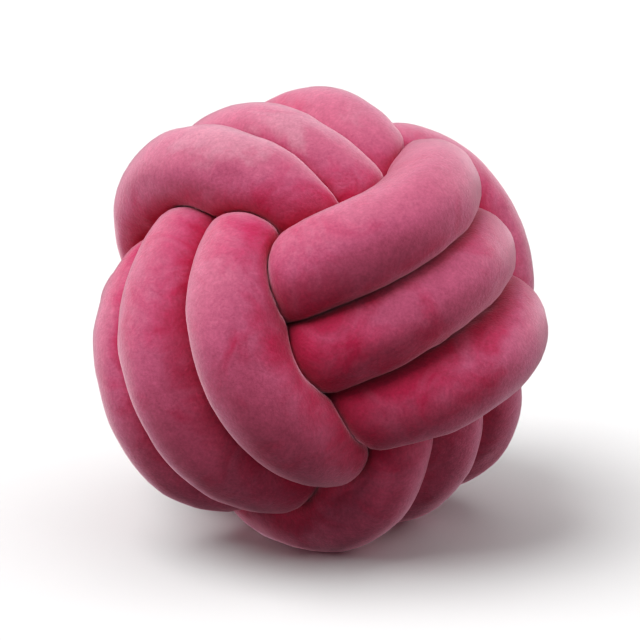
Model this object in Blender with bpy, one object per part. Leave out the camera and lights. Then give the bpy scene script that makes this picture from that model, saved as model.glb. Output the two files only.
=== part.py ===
# Round knotted cushion: one long stuffed tube of velvet, wound into a ball as three bands of three
# turns. Each band passes over the outside of one neighbour and dives under the other, and the
# tube's ends are sewn together inside the ball. Metres, +Z up, lying on its small flat spot.
import bpy
import numpy as np
from mathutils import Euler
from mathutils.bvhtree import BVHTree

# The tube
TUBE_RADIUS = 0.0305          # where nothing presses on it
WALL_GAP = 0.0014             # between two walls of the tube that press on each other
CLEARANCE = 0.0004            # that the flat faces between its points keep on either side
RING_SPACING = 0.0185         # along the tube, between its rings of points
RING_SIDES = 14
PATH_FINENESS = 3             # centreline points for each ring

# The knot: how far the tube's centreline runs from the ball's middle, for the middle turn of a band
# and for the two beside it, on the outside of the ball and where it passes under the crossing band
OVER_MIDDLE = 0.1230
UNDER_MIDDLE = 0.0835
OVER_SIDE = 0.1275
UNDER_SIDE = 0.0590
SIDE_FLATTENING = 0.0045      # side turns run flatter over the outside and dive more steeply
FAN = 24.0                    # degrees between neighbouring turns of a band
BANDS = 3
TURNS = 3                     # in each band
STEP_HALF = 38.0              # degrees round the band in which the tube steps over to the next turn

# The hidden run that leads from the last turn of a band to the first turn of the next one
CROSSOVER_CUT = 28.0          # degrees before the last underpass where the run leaves its band
CROSSOVER_POINT = (0.000, 0.008, 0.028)   # it passes here, near the ball's middle
CROSSOVER_PULL = 1.5          # how far it keeps its direction, as a share of the distance
CROSSOVER_POINTS = 16         # in each half of it

# Walls that nobody sees, within this distance of the ball's middle, swell into the room left there
INSIDE = 0.090
INSIDE_FADE = 0.020           # distance over which the swelling sets in
INSIDE_SWELL = 0.5            # at most, as a share of the tube's radius

# The way the ball lies: turned about X, then Y, then Z, in degrees
LIE = (-167.5, -20.5, -44.5)
PRESS = 0.0080                # how far the ball's own weight presses its lowest points in

CENTRELINE_STEP = 2.0         # degrees between the points of a band's centreline
NEAR_RUN = 0.080              # along the tube, within which its points count as the same bend
ROUNDNESS = 10.0              # how sharply the round tube goes over into a flat pressed wall
LEAST_FACING = 1e-6           # of a direction towards another turn, below which nothing is in its way
EASING = 0.985                # how much a wall that would cut into another one draws back at a time
EASING_ROUNDS = 60

# How each stretch over the outside departs from the even knot. Slide, slant and bow are degrees
# sideways round the ball: all of it, one end against the other, and the ends against the middle.
# Lift and tilt are millimetres outward: all of it, and one end against the other. Plump is per cent
# of the tube's radius. A band runs over a front face and a back face of the ball.
STRETCH_COLUMNS = ("band", "turn", "face", "slide", "slant", "bow", "lift", "tilt", "plump")
STRETCHES = (
    (0, 0, "front", 0, 7, 3, 2, 7, 4),
    (0, 1, "front", 1, 4, -1, -3, 2, 4),
    (0, 2, "front", 1, 5, 0, 2, -7, 1),
    (0, 0, "back", 2, -2, 0, 0, 2, 2),
    (0, 1, "back", -1, -3, 1, 2, 0, -2),
    (0, 2, "back", -2, -2, 0, 0, -3, 2),
    (1, 0, "front", 2, 1, 3, 1, 10, 0),
    (1, 1, "front", -1, 0, 0, 4, 0, 5),
    (1, 2, "front", 2, 2, -1, 2, 0, -1),
    (1, 0, "back", 2, -3, 0, 0, -2, 2),
    (1, 1, "back", 0, -3, -1, 2, 2, -2),
    (1, 2, "back", -2, -4, 1, 3, -2, 0),
    (2, 0, "front", 2, -3, 0, 4, 4, 1),
    (2, 1, "front", -2, 0, 0, 1, -6, 0),
    (2, 2, "front", 2, -3, 1, -1, 0, 2),
    (2, 0, "back", 1, -1, -3, -6, 0, -4),
    (2, 1, "back", 3, 0, -2, -5, 3, 0),
    (2, 2, "back", -4, -2, 1, 0, 9, 0),
)
FULL_TURN = 360.0
UNDERPASS = 90.0              # degrees round a band where it first dives
MILLIMETRE = 0.001
PER_CENT = 0.01
END_FADE = 1.5                # how soon a departure dies out towards the ends of its stretch

VELVET = dict(colour=(0.62, 0.13, 0.22), roughness=0.85, sheen=0.6)


def blend(first, second, share):
    return first + (second - first) * share


def step_over(angle, at):
    """Goes smoothly from 0 to 1 where the tube steps from one turn to the next."""
    share = np.clip((angle - at) / (2.0 * STEP_HALF) + 0.5, 0.0, 1.0)
    return share * share * (3.0 - 2.0 * share)


def stretch_middle(turn, face):
    """Degrees round the band at the middle of a stretch over the outside."""
    half_turns = 1 if face == "back" else 2
    return half_turns * FULL_TURN / 2.0 + turn * FULL_TURN


def wound_band(band):
    """The centreline and tube radii of a band's three turns, in the ball's own axes."""
    first = UNDERPASS + CROSSOVER_CUT
    last = UNDERPASS + TURNS * FULL_TURN - CROSSOVER_CUT
    angle = np.arange(first, last + CENTRELINE_STEP / 2.0, CENTRELINE_STEP)
    around = np.radians(angle)
    turn = np.full_like(angle, -1.0)
    for done in range(1, TURNS):
        turn += step_over(angle, UNDERPASS + done * FULL_TURN)
    beside = turn ** 2
    over = blend(OVER_MIDDLE, OVER_SIDE, beside)
    under = blend(UNDER_MIDDLE, UNDER_SIDE, beside)
    out = (over + under) / 2.0 + (over - under) / 2.0 * np.cos(2.0 * around)
    out += SIDE_FLATTENING * beside * (1.0 - np.cos(4.0 * around))
    lean = turn * FAN
    radius = np.full_like(angle, TUBE_RADIUS)
    for row in STRETCHES:
        stretch = dict(zip(STRETCH_COLUMNS, row))
        if stretch["band"] != band:
            continue
        along = around - np.radians(stretch_middle(stretch["turn"], stretch["face"]))
        near = np.where(np.abs(along) < np.pi / 2.0, np.cos(along), 0.0).clip(0.0) ** END_FADE
        end = np.sin(along)
        sideways = stretch["slide"] + stretch["slant"] * end + stretch["bow"] * np.cos(3.0 * along)
        lean += sideways * near
        out += (stretch["lift"] + stretch["tilt"] * end) * MILLIMETRE * near
        radius *= 1.0 + stretch["plump"] * PER_CENT * near
    lean = np.radians(lean)
    in_plane = out * np.cos(lean)
    points = np.stack([in_plane * np.cos(around), in_plane * np.sin(around), out * np.sin(lean)], 1)
    return np.roll(points, band, axis=1), radius


def unit(vectors):
    return vectors / np.linalg.norm(vectors, axis=-1, keepdims=True)


def bend(start, start_pull, end, end_pull, count):
    """Points inside a smooth bend between two places, leaving and arriving in given directions."""
    share = (np.arange(1, count) / count)[:, None]
    return (start * (1.0 + 2.0 * share) * (1.0 - share) ** 2 + start_pull * share * (1.0 - share) ** 2
            + end * share ** 2 * (3.0 - 2.0 * share) - end_pull * share ** 2 * (1.0 - share))


def crossover(leaving, joining, middle):
    """The hidden run from the end of one band, past the ball's middle, to the start of the next."""
    start, end = leaving[-1], joining[0]
    start_heading = unit(leaving[-1] - leaving[-2])
    end_heading = unit(joining[1] - joining[0])
    middle_heading = unit(end - start)
    inward = np.linalg.norm(middle - start) * CROSSOVER_PULL
    outward = np.linalg.norm(end - middle) * CROSSOVER_PULL
    return np.concatenate([
        bend(start, start_heading * inward, middle, middle_heading * inward, CROSSOVER_POINTS),
        middle[None],
        bend(middle, middle_heading * outward, end, end_heading * outward, CROSSOVER_POINTS),
    ])


def tube_path():
    """The whole tube's centreline as one closed loop, with the tube's radius at each point."""
    bands = [wound_band(band) for band in range(BANDS)]
    points = []
    radii = []
    for band, (centreline, radius) in enumerate(bands):
        following = bands[(band + 1) % BANDS][0]
        run = crossover(centreline, following, np.roll(CROSSOVER_POINT, band))
        points += [centreline, run]
        radii += [radius, np.full(len(run), TUBE_RADIUS)]
    return np.concatenate(points), np.concatenate(radii)


def even_stations(points, radii, spacing):
    """The closed path again, at even steps along it: places, radii and distances run."""
    closed = np.concatenate([points, points[:1]])
    run = np.concatenate([[0.0], np.cumsum(np.linalg.norm(np.diff(closed, axis=0), axis=1))])
    count = int(round(run[-1] / spacing))
    wanted = run[-1] * np.arange(count) / count
    places = np.stack([np.interp(wanted, run, closed[:, axis]) for axis in range(3)], 1)
    return places, np.interp(wanted, run, np.append(radii, radii[0])), wanted, run[-1]


def ring_directions(places):
    """Directions from each station to its ring's points, carried along the tube without twisting."""
    heading = unit(np.roll(places, -1, axis=0) - np.roll(places, 1, axis=0))
    side = unit(np.cross(heading[0], places[0]))
    first = side
    sides = []
    for ahead in heading:
        side = unit(side - ahead * (side @ ahead))
        sides.append(side)
    closing = unit(side - heading[0] * (side @ heading[0]))
    twist = np.arctan2(np.cross(closing, first) @ heading[0], closing @ first)
    sides = np.array(sides)
    across = np.cross(heading, sides)
    count = len(places)
    turned = (twist * np.arange(count) / count)[:, None] + 2.0 * np.pi * np.arange(RING_SIDES) / RING_SIDES
    return sides[:, None] * np.cos(turned)[..., None] + across[:, None] * np.sin(turned)[..., None]


def free_radii(place, radius, directions):
    """How far a ring's points stand out where nothing presses: further deep inside the ball."""
    depth = np.linalg.norm(place + directions * radius, axis=1)
    return radius * (1.0 + INSIDE_SWELL * np.clip((INSIDE - depth) / INSIDE_FADE, 0.0, 1.0))


def pressed_radii(places, radii, run, directions, path, path_radii, path_run, length):
    """How far each ring's points stand out: round where free, flat where another turn presses.

    Between two turns the wall is the plane that parts their centrelines, less half of the gap.
    """
    pressed = np.empty(directions.shape[:2])
    for index, place in enumerate(places):
        to_other = path - place
        distance = np.linalg.norm(to_other, axis=1)
        apart = np.abs(path_run - run[index])
        apart = np.minimum(apart, length - apart)
        gap = np.where(apart > NEAR_RUN, WALL_GAP / 2.0, 0.0)
        share = radii[index] / (radii[index] + path_radii)
        facing = directions[index] @ to_other.T
        room = distance * (distance * share - gap)
        walls = np.where(facing > LEAST_FACING, room / np.maximum(facing, LEAST_FACING), np.inf)
        walls[:, distance < RING_SPACING / 2.0] = np.inf
        wall = walls.min(axis=1)
        free = free_radii(place, radii[index], directions[index])
        pressed[index] = (free ** -ROUNDNESS + wall ** -ROUNDNESS) ** (-1.0 / ROUNDNESS)
    return pressed


def laid_down(points):
    """The ball turned as it lies, its lowest points pressed flat, its origin under its middle."""
    turn = np.array(Euler(np.radians(LIE)).to_matrix())
    points = points @ turn.T
    points[..., 2] = np.maximum(points[..., 2] - points[..., 2].min() - PRESS, 0.0)
    corners = points.reshape(-1, 3)
    middle = (corners.min(axis=0) + corners.max(axis=0)) / 2.0
    return points - (middle[0], middle[1], 0.0)


def triangles(rings, sides):
    """The faces between neighbouring rings, all the way along the closed tube."""
    faces = []
    for ring in range(rings):
        following = (ring + 1) % rings
        for side in range(sides):
            beside = (side + 1) % sides
            here, here_beside = ring * sides + side, ring * sides + beside
            ahead, ahead_beside = following * sides + side, following * sides + beside
            faces += [(here, here_beside, ahead_beside), (here, ahead_beside, ahead)]
    return faces


def eased(places, directions, pressed, faces):
    """The walls drawn back wherever the faces between their points would cut into others."""
    owners = [set(face) for face in faces]
    for _ in range(EASING_ROUNDS):
        swollen = laid_down(places[:, None] + directions * (pressed + CLEARANCE)[..., None])
        tree = BVHTree.FromPolygons(swollen.reshape(-1, 3).tolist(), faces, all_triangles=True)
        cutting = [pair for pair in tree.overlap(tree) if not owners[pair[0]] & owners[pair[1]]]
        if not cutting:
            break
        corners = sorted(set().union(*(owners[pair[0]] for pair in cutting)))
        pressed.reshape(-1)[corners] *= EASING
    return pressed


def velvet():
    material = bpy.data.materials.new("rose_velvet")
    material.use_nodes = True
    shader = material.node_tree.nodes["Principled BSDF"]
    shader.inputs["Base Color"].default_value = (*VELVET["colour"], 1.0)
    shader.inputs["Roughness"].default_value = VELVET["roughness"]
    shader.inputs["Metallic"].default_value = 0.0
    shader.inputs["Sheen Weight"].default_value = VELVET["sheen"]
    return material


def stuffed_tube():
    """The one piece: the stuffed tube, knotted into a ball."""
    path, path_radii, path_run, length = even_stations(*tube_path(), RING_SPACING / PATH_FINENESS)
    places, radii, run, _ = even_stations(path, path_radii, RING_SPACING)
    directions = ring_directions(places)
    pressed = pressed_radii(places, radii, run, directions, path, path_radii, path_run, length)
    faces = triangles(*pressed.shape)
    pressed = eased(places, directions, pressed, faces)
    points = laid_down(places[:, None] + directions * pressed[..., None])
    mesh = bpy.data.meshes.new("stuffed_tube")
    mesh.from_pydata(points.reshape(-1, 3).tolist(), [], faces)
    mesh.validate()
    mesh.shade_smooth()
    mesh.materials.append(velvet())
    tube = bpy.data.objects.new("stuffed_tube", mesh)
    bpy.context.scene.collection.objects.link(tube)
    return tube


for leftover in list(bpy.data.objects):
    bpy.data.objects.remove(leftover)
stuffed_tube()
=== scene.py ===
import bpy
import numpy as np
from mathutils import Euler, Matrix, Vector, noise as solid_noise


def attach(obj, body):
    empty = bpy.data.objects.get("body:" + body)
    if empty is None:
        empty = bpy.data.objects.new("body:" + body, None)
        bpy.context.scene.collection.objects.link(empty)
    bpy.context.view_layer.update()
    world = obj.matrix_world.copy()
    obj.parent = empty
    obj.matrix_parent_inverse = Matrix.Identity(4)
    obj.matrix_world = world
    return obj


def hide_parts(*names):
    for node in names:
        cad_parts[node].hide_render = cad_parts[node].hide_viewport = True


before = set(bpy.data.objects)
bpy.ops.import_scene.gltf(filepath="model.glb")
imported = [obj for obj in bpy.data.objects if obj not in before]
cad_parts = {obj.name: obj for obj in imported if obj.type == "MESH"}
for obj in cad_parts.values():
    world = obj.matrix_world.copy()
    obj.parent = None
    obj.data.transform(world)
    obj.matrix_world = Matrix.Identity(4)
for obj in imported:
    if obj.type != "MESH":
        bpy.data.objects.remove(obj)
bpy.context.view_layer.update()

# The tube, in metres
TUBE_RADIUS = 0.0305          # where nothing presses on it
WALL_GAP = 0.0003             # between two walls of the tube that press on each other
RING_SPACING = 0.0042         # along the tube, between its rings of points
RING_SIDES = 48

# The knot: how far the tube's centreline runs from the ball's middle, for the middle turn of a band
# and for the two beside it, on the outside of the ball and where it passes under the crossing band
OVER_MIDDLE = 0.1230
UNDER_MIDDLE = 0.0835
OVER_SIDE = 0.1275
UNDER_SIDE = 0.0590
SIDE_FLATTENING = 0.0045      # side turns run flatter over the outside and dive more steeply
FAN = 24.0                    # degrees between neighbouring turns of a band
BANDS = 3
TURNS = 3                     # in each band
STEP_HALF = 38.0              # degrees round the band in which the tube steps over to the next turn

# The hidden run that leads from the last turn of a band to the first turn of the next one
CROSSOVER_CUT = 28.0          # degrees before the last underpass where the run leaves its band
CROSSOVER_POINT = (0.000, 0.008, 0.028)   # it passes here, near the ball's middle
CROSSOVER_PULL = 1.5          # how far it keeps its direction, as a share of the distance
CROSSOVER_POINTS = 16         # in each half of it

# Walls that nobody sees, within this distance of the ball's middle, swell into the room left there
INSIDE = 0.090
INSIDE_FADE = 0.020           # distance over which the swelling sets in
INSIDE_SWELL = 0.5            # at most, as a share of the tube's radius

# The way the ball lies: turned about X, then Y, then Z, in degrees
LIE = (-167.5, -20.5, -44.5)
PRESS = 0.0080                # how far the ball's own weight presses its lowest points in

CENTRELINE_STEP = 1.0         # degrees between the points of a band's centreline
PATH_SMOOTHING = 6            # rounds
RIDGE_ROUNDING = 1            # rounds
NEAR_RUN = 0.080              # along the tube, within which its points count as the same bend
SAME_PLACE = 2.0              # ring spacings within which the centreline presses on nothing
ROUNDNESS = 30.0              # how sharply the round tube goes over into a flat pressed wall
LEAST_FACING = 1e-6           # of a direction towards another turn, below which nothing is in its way

# How each stretch over the outside departs from the even knot, as in the model. Slide, slant and
# bow are degrees sideways round the ball: all of it, one end against the other, and the ends against
# the middle. Lift and tilt are millimetres outward: all of it, and one end against the other. Plump
# is per cent of the tube's radius. A band runs over a front face and a back face of the ball.
STRETCH_COLUMNS = ("band", "turn", "face", "slide", "slant", "bow", "lift", "tilt", "plump")
STRETCHES = (
    (0, 0, "front", 0, 7, 3, 2, 7, 4),
    (0, 1, "front", 1, 4, -1, -3, 2, 4),
    (0, 2, "front", 1, 5, 0, 2, -7, 1),
    (0, 0, "back", 2, -2, 0, 0, 2, 2),
    (0, 1, "back", -1, -3, 1, 2, 0, -2),
    (0, 2, "back", -2, -2, 0, 0, -3, 2),
    (1, 0, "front", 2, 1, 3, 1, 10, 0),
    (1, 1, "front", -1, 0, 0, 4, 0, 5),
    (1, 2, "front", 2, 2, -1, 2, 0, -1),
    (1, 0, "back", 2, -3, 0, 0, -2, 2),
    (1, 1, "back", 0, -3, -1, 2, 2, -2),
    (1, 2, "back", -2, -4, 1, 3, -2, 0),
    (2, 0, "front", 2, -3, 0, 4, 4, 1),
    (2, 1, "front", -2, 0, 0, 1, -6, 0),
    (2, 2, "front", 2, -3, 1, -1, 0, 2),
    (2, 0, "back", 1, -1, -3, -6, 0, -4),
    (2, 1, "back", 3, 0, -2, -5, 3, 0),
    (2, 2, "back", -4, -2, 1, 0, 9, 0),
)
FULL_TURN = 360.0
UNDERPASS = 90.0              # degrees round a band where it first dives
MILLIMETRE = 0.001
PER_CENT = 0.01
END_FADE = 1.5                # how soon a departure dies out towards the ends of its stretch

# The photograph's view
CAMERA_ELEVATION = 16.0       # degrees
CAMERA_DISTANCE = 1.445
PHOTO_SIDE = 640              # pixels
PIXELS_PER_SLOPE = 2182.0     # pixels in the photograph for a sideways slope of one
BALL_PIXEL = (315.0, 313.5)   # where the ball's middle lies in the photograph
SENSOR_WIDTH = 36.0

# The velvet's colours, from crimson, painted shade down in the grooves, to rose on the crests
CRIMSON = (0.58, 0.016, 0.099)
ROSE = (0.64, 0.122, 0.224)
# A paler rose, a painted highlight on the lit tops
PAINTED_HIGHLIGHT = (0.68, 0.215, 0.310)
CRIMSON_UNTIL = 0.1            # paleness up to which it is crimson
ROSE_FROM = 0.9              # paleness at which it is rose
PAINTED_HIGHLIGHT_FROM = 1.3           # paleness from which it grows paler still, a painted highlight
PAINTED_HIGHLIGHT_TO = 1.9
# A pale colour mixed in where the surface turns away from the eye, a painted sheen
PAINTED_SHEEN = (0.92, 0.40, 0.53)
PAINTED_SHEEN_FROM = 0.25              # how far the cloth turns away before the painted sheen sets in
PAINTED_SHEEN_MOST = 0.36              # share of the painted sheen's colour at most

# The colour is crimson down in the grooves, painted shade, and rose out on the crests
GROOVE_REACH = 0.120          # from the ball's middle
CREST_REACH = 0.157
GROOVE_FACING = 0.2           # how far a wall in a groove faces away from the ball's middle
CREST_FACING = 0.9
FACING_SHARE = 0.25           # weight of the facing in this; the rest is distance

# The pile is brushed unevenly all over, which makes it paler and darker at random
PATCHES = dict(scale=26.0, detail=4.0, roughness=0.6, distortion=0.8)
PATCH_CONTRAST = 2.6

# Patches that stand out in the photograph, painted paler than beside them as a painted highlight where
# more is positive, and darker as painted shade where it is negative:
# across, up and reach from the ball's middle in the photograph's view, and size, all in metres
PAINTED_LIGHT_COLUMNS = ("place", "across", "up", "reach", "size", "more")
PAINTED_LIGHT_PATCHES = (
    ("middle right strand, left end", -0.003, -0.016, 0.132, 0.024, -0.45),
    ("middle right strand, middle", 0.054, 0.008, 0.148, 0.026, 0.35),
    ("lower right strand, left end", 0.027, -0.057, 0.137, 0.030, -0.45),
    ("lower right strand, middle", 0.085, -0.030, 0.148, 0.030, -0.35),
    ("middle left strand, top", -0.088, 0.046, 0.134, 0.024, -0.30),
    ("inner left strand, top", -0.052, 0.050, 0.146, 0.020, -0.30),
    ("inner left strand, middle", -0.033, -0.012, 0.152, 0.020, -0.20),
    ("first top strand", -0.066, 0.104, 0.149, 0.040, 0.80),
    ("second top strand", -0.015, 0.115, 0.137, 0.040, 0.80),
    ("third top strand", 0.030, 0.118, 0.130, 0.040, 0.90),
    ("second strand below", 0.082, -0.105, 0.145, 0.035, 0.50),
    ("last strand below", 0.115, -0.088, 0.148, 0.035, 0.50),
)

# Its grain: a soft mottle, and the nap's fine fibres, which also roughen the surface
MOTTLE = dict(scale=170.0, detail=3.0, roughness=0.6)
MOTTLE_DARK = (0.84, 0.80, 0.83)
NAP = dict(scale=520.0, detail=3.0, roughness=0.65)
NAP_DARK = (0.77, 0.72, 0.75)
NAP_DEPTH = 0.0008
NAP_STRENGTH = 0.5
GRAIN_LOW = 0.3               # range of the noise over which the grain goes from dark to light
GRAIN_HIGH = 0.7
WHITE = (1.0, 1.0, 1.0)
VELVET_ROUGHNESS = 0.75
VELVET_SPECULAR = 0.5
SHEEN = 1.0
SHEEN_ROUGHNESS = 0.4
SHEEN_TINT = (1.0, 0.60, 0.70)

# The velvet where nothing presses on it is simulated as cloth that the filling blows up. It starts a
# little too small and is cut a little roomier than the filling, so that it puckers beside the creases.
CLOTH_START = 0.985           # of how far out the filling stands
CLOTH_ROOM = 0.014            # how much wider than the filling it is cut, as a share
CLOTH_PRESSURE = 4.0
CLOTH_WEIGHT = 0.005
CLOTH_TENSION = 15.0
CLOTH_BENDING = 1.0
CLOTH_STEPS = 5               # in each frame
CLOTH_FIRST = 1
CLOTH_LAST = 20
CLOTH_MOST = 0.0015           # how far it may come to lie from the filling
LEAST_MOVE = 0.000015         # a movement too small to count
CLOTH_SMOOTHING = 1           # rounds
PRESSED = 0.92                # share of its free reach at which a wall still holds the cloth
UNPRESSED = 1.04              # share at which it is quite loose
HELD_DEPTH = 0.105            # from the ball's middle, up to which the cloth is held
LOOSE_DEPTH = 0.117           # from which on it is quite loose

# The filling's unevenness: how far it pushes the cloth about, and over what distance
LUMPS = ((0.0010, 0.034), (0.0004, 0.012))
LUMP_SEED = 1                 # without it the noise follows the clock

# The studio's soft lights, each with the direction towards it and its spread in degrees
LIGHT_COLUMNS = ("name", "towards", "spread", "strength")
SOFT_LIGHTS = (
    ("key", (-0.55, -0.20, 1.0), 45.0, 2.75),
    ("top", (0.0, 0.1, 1.0), 60.0, 1.1),
    ("right shoulder", (0.8, -0.3, 0.8), 50.0, 0.5),
    ("right rim", (1.0, 0.5, 0.2), 60.0, 1.25),
    ("left rim", (-1.0, 0.5, 0.2), 60.0, 1.75),
    ("right low", (1.0, -0.4, -0.6), 60.0, 1.1),
    ("left low", (-1.0, -0.4, -0.6), 60.0, 0.55),
    ("front low", (0.3, -1.0, -0.4), 60.0, 0.38),
)

# The dim light from all around, and the floor
SKY_STRENGTH = 0.05
GROUND_STRENGTH = 0.06
HORIZON_FADE = 0.35           # height above and below the horizon over which one fades to the other
FLOOR_SIDE = 60.0
FLOOR_COLOUR = (0.74, 0.74, 0.74)
FLOOR_ROUGHNESS = 1.0
FLOOR_SPECULAR = 0.0

# Tones of the picture: what each brightness turns into
TONES = ((0.03, 0.018), (0.08, 0.062), (0.2, 0.205), (0.5, 0.52), (0.8, 0.79))
ALL_COLOURS = 3               # place of the curve that acts on all three colours alike


def blend(first, second, share):
    return first + (second - first) * share


def step_over(angle, at):
    """Goes smoothly from 0 to 1 where the tube steps from one turn to the next."""
    share = np.clip((angle - at) / (2.0 * STEP_HALF) + 0.5, 0.0, 1.0)
    return share * share * (3.0 - 2.0 * share)


def stretch_middle(turn, face):
    """Degrees round the band at the middle of a stretch over the outside."""
    half_turns = 1 if face == "back" else 2
    return half_turns * FULL_TURN / 2.0 + turn * FULL_TURN


def wound_band(band):
    """The centreline and tube radii of a band's three turns, in the ball's own axes."""
    first = UNDERPASS + CROSSOVER_CUT
    last = UNDERPASS + TURNS * FULL_TURN - CROSSOVER_CUT
    angle = np.arange(first, last + CENTRELINE_STEP / 2.0, CENTRELINE_STEP)
    around = np.radians(angle)
    turn = np.full_like(angle, -1.0)
    for done in range(1, TURNS):
        turn += step_over(angle, UNDERPASS + done * FULL_TURN)
    beside = turn ** 2
    over = blend(OVER_MIDDLE, OVER_SIDE, beside)
    under = blend(UNDER_MIDDLE, UNDER_SIDE, beside)
    out = (over + under) / 2.0 + (over - under) / 2.0 * np.cos(2.0 * around)
    out += SIDE_FLATTENING * beside * (1.0 - np.cos(4.0 * around))
    lean = turn * FAN
    radius = np.full_like(angle, TUBE_RADIUS)
    for row in STRETCHES:
        stretch = dict(zip(STRETCH_COLUMNS, row))
        if stretch["band"] != band:
            continue
        along = around - np.radians(stretch_middle(stretch["turn"], stretch["face"]))
        near = np.where(np.abs(along) < np.pi / 2.0, np.cos(along), 0.0).clip(0.0) ** END_FADE
        end = np.sin(along)
        sideways = stretch["slide"] + stretch["slant"] * end + stretch["bow"] * np.cos(3.0 * along)
        lean += sideways * near
        out += (stretch["lift"] + stretch["tilt"] * end) * MILLIMETRE * near
        radius *= 1.0 + stretch["plump"] * PER_CENT * near
    lean = np.radians(lean)
    in_plane = out * np.cos(lean)
    points = np.stack([in_plane * np.cos(around), in_plane * np.sin(around), out * np.sin(lean)], 1)
    return np.roll(points, band, axis=1), radius


def unit(vectors):
    return vectors / np.linalg.norm(vectors, axis=-1, keepdims=True)


def bend(start, start_pull, end, end_pull, count):
    """Points inside a smooth bend between two places, leaving and arriving in given directions."""
    share = (np.arange(1, count) / count)[:, None]
    return (start * (1.0 + 2.0 * share) * (1.0 - share) ** 2 + start_pull * share * (1.0 - share) ** 2
            + end * share ** 2 * (3.0 - 2.0 * share) - end_pull * share ** 2 * (1.0 - share))


def crossover(leaving, joining, middle):
    """The hidden run from the end of one band, past the ball's middle, to the start of the next."""
    start, end = leaving[-1], joining[0]
    start_heading = unit(leaving[-1] - leaving[-2])
    end_heading = unit(joining[1] - joining[0])
    middle_heading = unit(end - start)
    inward = np.linalg.norm(middle - start) * CROSSOVER_PULL
    outward = np.linalg.norm(end - middle) * CROSSOVER_PULL
    return np.concatenate([
        bend(start, start_heading * inward, middle, middle_heading * inward, CROSSOVER_POINTS),
        middle[None],
        bend(middle, middle_heading * outward, end, end_heading * outward, CROSSOVER_POINTS),
    ])


def tube_path():
    """The whole tube's centreline as one closed loop, with the tube's radius at each point."""
    bands = [wound_band(band) for band in range(BANDS)]
    points = []
    radii = []
    for band, (centreline, radius) in enumerate(bands):
        following = bands[(band + 1) % BANDS][0]
        run = crossover(centreline, following, np.roll(CROSSOVER_POINT, band))
        points += [centreline, run]
        radii += [radius, np.full(len(run), TUBE_RADIUS)]
    return np.concatenate(points), np.concatenate(radii)


def even_stations(points, radii, spacing):
    """The closed path again, at even steps along it: places, radii, distances run and its length.

    The number of steps is even, because the cloth has every second ring.
    """
    closed = np.concatenate([points, points[:1]])
    run = np.concatenate([[0.0], np.cumsum(np.linalg.norm(np.diff(closed, axis=0), axis=1))])
    count = 2 * int(round(run[-1] / spacing / 2.0))
    wanted = run[-1] * np.arange(count) / count
    places = np.stack([np.interp(wanted, run, closed[:, axis]) for axis in range(3)], 1)
    return places, np.interp(wanted, run, np.append(radii, radii[0])), wanted, run[-1]


def smoothed(values, rounds):
    """Values along the closed tube, evened out with their neighbours."""
    for _ in range(rounds):
        values = (np.roll(values, 1, axis=0) + 2.0 * values + np.roll(values, -1, axis=0)) / 4.0
    return values


def ring_directions(places):
    """Directions from each station to its ring's points, carried along the tube without twisting."""
    heading = unit(np.roll(places, -1, axis=0) - np.roll(places, 1, axis=0))
    side = unit(np.cross(heading[0], places[0]))
    first = side
    sides = []
    for ahead in heading:
        side = unit(side - ahead * (side @ ahead))
        sides.append(side)
    closing = unit(side - heading[0] * (side @ heading[0]))
    twist = np.arctan2(np.cross(closing, first) @ heading[0], closing @ first)
    sides = np.array(sides)
    across = np.cross(heading, sides)
    count = len(places)
    untwisting = twist * np.arange(count) / count
    turned = untwisting[:, None] + 2.0 * np.pi * np.arange(RING_SIDES) / RING_SIDES
    return sides[:, None] * np.cos(turned)[..., None] + across[:, None] * np.sin(turned)[..., None]


def free_radii(places, radii, directions):
    """How far each ring's points stand out where nothing presses: further deep inside the ball."""
    radii = radii[:, None]
    depth = np.linalg.norm(places[:, None] + directions * radii[..., None], axis=2)
    return radii * (1.0 + INSIDE_SWELL * np.clip((INSIDE - depth) / INSIDE_FADE, 0.0, 1.0))


def wall_distances(path, radii, run, length, directions):
    """How far each ring's points may stand out before they meet the wall towards another turn.

    Between two turns the wall is the plane that parts their centrelines, less half of the gap.
    """
    walls = np.empty(directions.shape[:2])
    for index, place in enumerate(path):
        to_other = path - place
        distance = np.linalg.norm(to_other, axis=1)
        apart = np.abs(run - run[index])
        apart = np.minimum(apart, length - apart)
        gap = np.where(apart > NEAR_RUN, WALL_GAP / 2.0, 0.0)
        share = radii[index] / (radii[index] + radii)
        facing = directions[index] @ to_other.T
        room = distance * (distance * share - gap)
        reach = np.where(facing > LEAST_FACING, room / np.maximum(facing, LEAST_FACING), np.inf)
        reach[:, distance < RING_SPACING * SAME_PLACE] = np.inf
        walls[index] = reach.min(axis=1)
    return walls


def rounded_off(pressed, rounds):
    """Ridges where two pressed walls meet, rounded as stuffed cloth is, never outward."""
    for _ in range(rounds):
        around = (np.roll(pressed, 1, axis=1) + np.roll(pressed, -1, axis=1)) / 2.0
        along = (np.roll(pressed, 1, axis=0) + np.roll(pressed, -1, axis=0)) / 2.0
        pressed = np.minimum(pressed, (around + along) / 2.0)
    return pressed


def rising(values, low, high):
    """Goes evenly from 0 to 1 between two values."""
    return np.clip((values - low) / (high - low), 0.0, 1.0)


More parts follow.
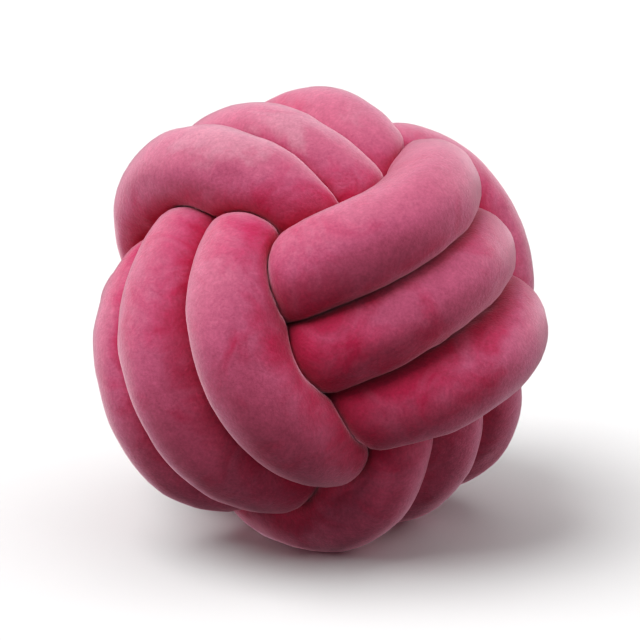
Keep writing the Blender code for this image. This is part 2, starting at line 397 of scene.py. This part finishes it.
def blown_up(small, loose):
    """Where the cloth comes to lie when the filling's pressure blows up its loose part."""
    mesh = bpy.data.meshes.new("loose_cloth")
    mesh.from_pydata(small.reshape(-1, 3).tolist(), [], quads(*small.shape[:2]))
    cloth = bpy.data.objects.new("loose_cloth", mesh)
    bpy.context.scene.collection.objects.link(cloth)
    held = cloth.vertex_groups.new(name="held")
    for index, hold in enumerate(1.0 - loose.reshape(-1)):
        held.add([index], hold, "REPLACE")
    simulation = cloth.modifiers.new("cloth", "CLOTH")
    settings = simulation.settings
    settings.quality = CLOTH_STEPS
    settings.mass = CLOTH_WEIGHT
    settings.vertex_group_mass = "held"
    settings.use_pressure = True
    settings.uniform_pressure_force = CLOTH_PRESSURE
    settings.tension_stiffness = CLOTH_TENSION
    settings.compression_stiffness = CLOTH_TENSION
    settings.bending_stiffness = CLOTH_BENDING
    settings.shrink_min = -CLOTH_ROOM
    settings.effector_weights.gravity = 0.0
    simulation.point_cache.frame_start = CLOTH_FIRST
    simulation.point_cache.frame_end = CLOTH_LAST
    for frame_number in range(CLOTH_FIRST, CLOTH_LAST + 1):
        bpy.context.scene.frame_set(frame_number)
    settled = cloth.evaluated_get(bpy.context.evaluated_depsgraph_get()).to_mesh()
    points = np.empty(small.size)
    settled.vertices.foreach_get("co", points)
    bpy.data.objects.remove(cloth)
    bpy.data.meshes.remove(mesh)
    bpy.context.scene.frame_set(CLOTH_FIRST)
    return points.reshape(small.shape)


def filled_in(values):
    """Values at every second ring and side, spread over all of them: each stands for four places."""
    full = np.zeros((values.shape[0] * 2, values.shape[1] * 2, 3))
    full[::2, ::2] = values * 4.0
    for axis in (0, 1):
        full = (np.roll(full, 1, axis=axis) + 2.0 * full + np.roll(full, -1, axis=axis)) / 4.0
    return smoothed(full, CLOTH_SMOOTHING)


def kept_close(moved):
    """The cloth's movements, the long ones shortened smoothly."""
    far = np.linalg.norm(moved, axis=2, keepdims=True)
    return moved * (CLOTH_MOST * np.tanh(far / CLOTH_MOST) / np.maximum(far, LEAST_MOVE))


def puckered(path, directions, pressed, walls, free):
    """The tube's filling, and the velvet over it, simulated where it is loose and kept close to it."""
    filling = path[:, None] + directions * pressed[..., None]
    loose = rising(walls / free, PRESSED, UNPRESSED)
    loose *= rising(np.linalg.norm(filling, axis=2), HELD_DEPTH, LOOSE_DEPTH)
    reach = pressed * (1.0 - (1.0 - CLOTH_START) * loose)
    small = path[:, None] + directions * reach[..., None]
    moved = blown_up(small[::2, ::2], loose[::2, ::2]) - filling[::2, ::2]
    return filling, filling + filled_in(kept_close(moved))


def lumpy(points):
    """The same points, pushed about smoothly, so that walls which touch go on touching."""
    solid_noise.seed_set(LUMP_SEED)
    flat = points.reshape(-1, 3)
    for push, spread in LUMPS:
        shift = [solid_noise.noise_vector(Vector(point / spread)) for point in flat]
        flat = flat + push * np.array(shift)
    return flat.reshape(points.shape)


def laid_down(cloth, filling):
    """The ball turned as it lies, its lowest points pressed flat, its origin under its middle.

    The filling decides how it lies, and the cloth goes with it. Gives the cloth's points and where the
    knot's own middle comes to lie.
    """
    turn = np.array(Euler(np.radians(LIE)).to_matrix())
    stuffing = filling.reshape(-1, 3) @ turn.T
    middle = (stuffing.min(axis=0) + stuffing.max(axis=0)) / 2.0
    knot_middle = np.array((-middle[0], -middle[1], -stuffing[:, 2].min() - PRESS))
    points = cloth @ turn.T + knot_middle
    points[..., 2] = np.maximum(points[..., 2], 0.0)
    return points, knot_middle


def quads(rings, sides):
    """The faces between neighbouring rings, all the way along the closed tube."""
    ring, side = np.meshgrid(np.arange(rings), np.arange(sides), indexing="ij")
    following, beside = (ring + 1) % rings, (side + 1) % sides
    corners = (ring * sides + side, ring * sides + beside,
               following * sides + beside, following * sides + side)
    return np.stack(corners, -1).reshape(-1, 4).tolist()


def new_node(tree, kind, **values):
    node = tree.nodes.new(kind)
    for name, value in values.items():
        setattr(node, name, value)
    return node


def noise(tree, place, scale, detail, roughness, distortion=0.0):
    node = new_node(tree, "ShaderNodeTexNoise")
    node.inputs["Scale"].default_value = scale
    node.inputs["Detail"].default_value = detail
    node.inputs["Roughness"].default_value = roughness
    node.inputs["Distortion"].default_value = distortion
    tree.links.new(place.outputs["Object"], node.inputs["Vector"])
    return node.outputs["Fac"]


def ramp(tree, value, *stops):
    """The colour that runs evenly from one stop to the next. A stop is a place and its colour."""
    node = new_node(tree, "ShaderNodeValToRGB")
    for element, (position, colour) in zip(node.color_ramp.elements, stops):
        element.position = position
        element.color = (*colour, 1.0)
    tree.links.new(value, node.inputs["Fac"])
    return node.outputs["Color"]


def mixed(tree, share, first, colour):
    """A colour output that goes over to a plain colour by a share."""
    node = new_node(tree, "ShaderNodeMix", data_type="RGBA")
    tree.links.new(share, node.inputs["Factor"])
    tree.links.new(first, node.inputs["A"])
    node.inputs["B"].default_value = (*colour, 1.0)
    return node.outputs["Result"]


def multiplied(tree, first, second):
    node = new_node(tree, "ShaderNodeMix", data_type="RGBA", blend_type="MULTIPLY")
    node.inputs["Factor"].default_value = 1.0
    tree.links.new(first, node.inputs["A"])
    tree.links.new(second, node.inputs["B"])
    return node.outputs["Result"]


def paleness(tree, place, crest_and_painted_light):
    """How pale the velvet is: the crest value, which paints shade into the grooves and brings the
    painted patches, and the pile's uneven brushing.
    """
    uneven = new_node(tree, "ShaderNodeMath", operation="MULTIPLY_ADD")
    tree.links.new(noise(tree, place, **PATCHES), uneven.inputs[0])
    uneven.inputs[1].default_value = PATCH_CONTRAST
    uneven.inputs[2].default_value = -PATCH_CONTRAST / 2.0
    total = new_node(tree, "ShaderNodeMath", operation="ADD")
    tree.links.new(crest_and_painted_light, total.inputs[0])
    tree.links.new(uneven.outputs["Value"], total.inputs[1])
    return total.outputs["Value"]


def painted_sheen(tree, crest_and_painted_light):
    """Share of the painted sheen's colour: more where the cloth turns away, and only on the crests."""
    facing = new_node(tree, "ShaderNodeLayerWeight")
    edge = new_node(tree, "ShaderNodeMapRange", interpolation_type="SMOOTHSTEP")
    edge.inputs["From Min"].default_value = PAINTED_SHEEN_FROM
    edge.inputs["To Max"].default_value = PAINTED_SHEEN_MOST
    tree.links.new(facing.outputs["Facing"], edge.inputs["Value"])
    painted_sheen_share = new_node(tree, "ShaderNodeMath", operation="MULTIPLY")
    tree.links.new(edge.outputs["Result"], painted_sheen_share.inputs[0])
    tree.links.new(crest_and_painted_light, painted_sheen_share.inputs[1])
    return painted_sheen_share.outputs["Value"]


def velvet():
    """Short-pile velvet: crimson in the grooves as painted shade, rose on the crests, unevenly brushed,
    with painted highlight and painted sheen.
    """
    material = bpy.data.materials.new("rose_velvet")
    material.use_nodes = True
    tree = material.node_tree
    shader = tree.nodes["Principled BSDF"]
    place = new_node(tree, "ShaderNodeTexCoord")
    # The crest value: painted shade down in the grooves, and the painted highlight and shade of the
    # patches
    crest_and_painted_light = new_node(tree, "ShaderNodeAttribute", attribute_name="crest_and_painted_light").outputs["Fac"]
    how_pale = paleness(tree, place, crest_and_painted_light)
    colour = ramp(tree, how_pale, (CRIMSON_UNTIL, CRIMSON), (ROSE_FROM, ROSE))
    # Painted highlight: the palest values, mostly on the lit top strands, turn the colour paler still
    flat = new_node(tree, "ShaderNodeMapRange", interpolation_type="SMOOTHSTEP")
    flat.inputs["From Min"].default_value = PAINTED_HIGHLIGHT_FROM
    flat.inputs["From Max"].default_value = PAINTED_HIGHLIGHT_TO
    tree.links.new(how_pale, flat.inputs["Value"])
    colour = mixed(tree, flat.outputs["Result"], colour, PAINTED_HIGHLIGHT)
    # Painted sheen: the pale colour where the surface turns away from the eye
    colour = mixed(tree, painted_sheen(tree, crest_and_painted_light), colour, PAINTED_SHEEN)
    nap_height = noise(tree, place, **NAP)
    mottle = ramp(tree, noise(tree, place, **MOTTLE), (GRAIN_LOW, MOTTLE_DARK), (GRAIN_HIGH, WHITE))
    nap = ramp(tree, nap_height, (GRAIN_LOW, NAP_DARK), (GRAIN_HIGH, WHITE))
    colour = multiplied(tree, multiplied(tree, colour, mottle), nap)
    tree.links.new(colour, shader.inputs["Base Color"])
    shader.inputs["Roughness"].default_value = VELVET_ROUGHNESS
    shader.inputs["Specular IOR Level"].default_value = VELVET_SPECULAR
    shader.inputs["Sheen Weight"].default_value = SHEEN
    shader.inputs["Sheen Roughness"].default_value = SHEEN_ROUGHNESS
    shader.inputs["Sheen Tint"].default_value = (*SHEEN_TINT, 1.0)
    bump = new_node(tree, "ShaderNodeBump")
    bump.inputs["Strength"].default_value = NAP_STRENGTH
    bump.inputs["Distance"].default_value = NAP_DEPTH
    tree.links.new(nap_height, bump.inputs["Height"])
    tree.links.new(bump.outputs["Normal"], shader.inputs["Normal"])
    return material


def view_axes():
    """The photograph's right and up, and the direction from the cushion to the camera."""
    tip = np.radians(CAMERA_ELEVATION)
    return np.array(((1.0, 0.0, 0.0), (0.0, np.sin(tip), np.cos(tip)), (0.0, -np.cos(tip), np.sin(tip))))


def painted_light_patches(points, knot_middle):
    """How much each point is painted paler than its neighbours, a painted highlight, and darker, painted
    shade.
    """
    right, up, towards = view_axes()
    more = np.zeros(len(points))
    for row in PAINTED_LIGHT_PATCHES:
        patch = dict(zip(PAINTED_LIGHT_COLUMNS, row))
        depth = np.sqrt(patch["reach"] ** 2 - patch["across"] ** 2 - patch["up"] ** 2)
        middle = knot_middle + right * patch["across"] + up * patch["up"] + towards * depth
        far = np.linalg.norm(points - middle, axis=1) / patch["size"]
        more += patch["more"] * np.exp(-far ** 2)
    return more


def crest_share(points, directions, path, knot_middle):
    """How far out on a crest each point lies: 0 down in a groove, 1 on top."""
    reach = np.linalg.norm(points - knot_middle, axis=1)
    facing = (directions * unit(path)[:, None]).sum(axis=2).reshape(-1)
    out = rising(reach, GROOVE_REACH, CREST_REACH)
    faced = rising(facing, GROOVE_FACING, CREST_FACING)
    return blend(out, faced, FACING_SHARE)


def velvet_tube():
    """The stuffed tube's fine surface. Gives where the knot's middle comes to lie."""
    points, radii = tube_path()
    path, radii, run, length = even_stations(points, radii, RING_SPACING)
    path = smoothed(path, PATH_SMOOTHING)
    directions = ring_directions(path)
    walls = wall_distances(path, radii, run, length, directions)
    free = free_radii(path, radii, directions)
    pressed = (free ** -ROUNDNESS + walls ** -ROUNDNESS) ** (-1.0 / ROUNDNESS)
    pressed = rounded_off(pressed, RIDGE_ROUNDING)
    filling, cloth = puckered(path, directions, pressed, walls, free)
    points, knot_middle = laid_down(lumpy(cloth), filling)
    points = points.reshape(-1, 3)
    mesh = bpy.data.meshes.new("velvet_tube")
    mesh.from_pydata(points.tolist(), [], quads(*pressed.shape))
    # The crest value paints shade into the grooves; the patches add painted highlight and painted shade
    crest_and_painted_light = crest_share(points, directions, path, knot_middle) + painted_light_patches(points, knot_middle)
    mesh.attributes.new("crest_and_painted_light", "FLOAT", "POINT").data.foreach_set("value", crest_and_painted_light)
    mesh.shade_smooth()
    mesh.materials.append(velvet())
    tube = bpy.data.objects.new("velvet_tube", mesh)
    bpy.context.scene.collection.objects.link(tube)
    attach(tube, "root")
    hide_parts("stuffed_tube")
    return knot_middle


def floor():
    """A plain pale floor, wide enough to fill the view. It gives the cushion no light from below."""
    mesh = bpy.data.meshes.new("floor")
    half = FLOOR_SIDE / 2.0
    mesh.from_pydata([(-half, -half, 0), (half, -half, 0), (half, half, 0), (-half, half, 0)], [],
                     [(0, 1, 2, 3)])
    material = bpy.data.materials.new("pale_floor")
    material.use_nodes = True
    shader = material.node_tree.nodes["Principled BSDF"]
    shader.inputs["Base Color"].default_value = (*FLOOR_COLOUR, 1.0)
    shader.inputs["Roughness"].default_value = FLOOR_ROUGHNESS
    shader.inputs["Specular IOR Level"].default_value = FLOOR_SPECULAR
    mesh.materials.append(material)
    plane = bpy.data.objects.new("floor", mesh)
    plane.visible_diffuse = False
    bpy.context.scene.collection.objects.link(plane)


def soft_sun(name, towards, spread, strength):
    """Even, soft light from one side of the sky."""
    light = bpy.data.lights.new(name, "SUN")
    light.angle = np.radians(spread)
    light.energy = strength
    lamp = bpy.data.objects.new(name, light)
    lamp.rotation_euler = Vector(towards).to_track_quat("Z", "Y").to_euler()
    bpy.context.scene.collection.objects.link(lamp)


def surroundings():
    """Dim light from all around, a little stronger from below."""
    world = bpy.data.worlds.new("studio")
    world.use_nodes = True
    tree = world.node_tree
    place = new_node(tree, "ShaderNodeTexCoord")
    height = new_node(tree, "ShaderNodeSeparateXYZ")
    tree.links.new(place.outputs["Generated"], height.inputs["Vector"])
    rise = new_node(tree, "ShaderNodeMapRange", interpolation_type="SMOOTHSTEP")
    rise.inputs["From Min"].default_value = -HORIZON_FADE
    rise.inputs["From Max"].default_value = HORIZON_FADE
    rise.inputs["To Min"].default_value = GROUND_STRENGTH
    rise.inputs["To Max"].default_value = SKY_STRENGTH
    tree.links.new(height.outputs["Z"], rise.inputs["Value"])
    tree.links.new(rise.outputs["Result"], tree.nodes["Background"].inputs["Strength"])
    tree.nodes["Background"].inputs["Color"].default_value = (*WHITE, 1.0)
    bpy.context.scene.world = world


def studio():
    """Soft light from above and from both sides, and a little from below. The grooves stay dark."""
    for row in SOFT_LIGHTS:
        soft_sun(**dict(zip(LIGHT_COLUMNS, row)))
    surroundings()


def photograph_tones():
    """Shades a little deeper than they are, as in the photograph."""
    view = bpy.context.scene.view_settings
    view.view_transform = "Standard"
    view.use_curve_mapping = True
    curve = view.curve_mapping.curves[ALL_COLOURS]
    for tone, shown in TONES:
        curve.points.new(tone, shown)
    view.curve_mapping.update()


def camera(knot_middle):
    """The photograph's view: a long lens a little above the cushion."""
    right, up, back = (Vector(axis) for axis in view_axes())
    pixel = CAMERA_DISTANCE / PIXELS_PER_SLOPE
    aside = (PHOTO_SIDE / 2.0 - BALL_PIXEL[0]) * pixel
    below = (PHOTO_SIDE / 2.0 - BALL_PIXEL[1]) * pixel
    place = Vector(knot_middle) + right * aside - up * below + back * CAMERA_DISTANCE
    data = bpy.data.cameras.new("camera")
    data.sensor_width = SENSOR_WIDTH
    data.lens = SENSOR_WIDTH * PIXELS_PER_SLOPE / PHOTO_SIDE
    eye = bpy.data.objects.new("camera", data)
    eye.matrix_world = Matrix.Translation(place) @ Matrix((right, up, back)).transposed().to_4x4()
    bpy.context.scene.collection.objects.link(eye)
    bpy.context.scene.camera = eye


knot_middle = velvet_tube()
camera(knot_middle)
floor()
studio()
photograph_tones()
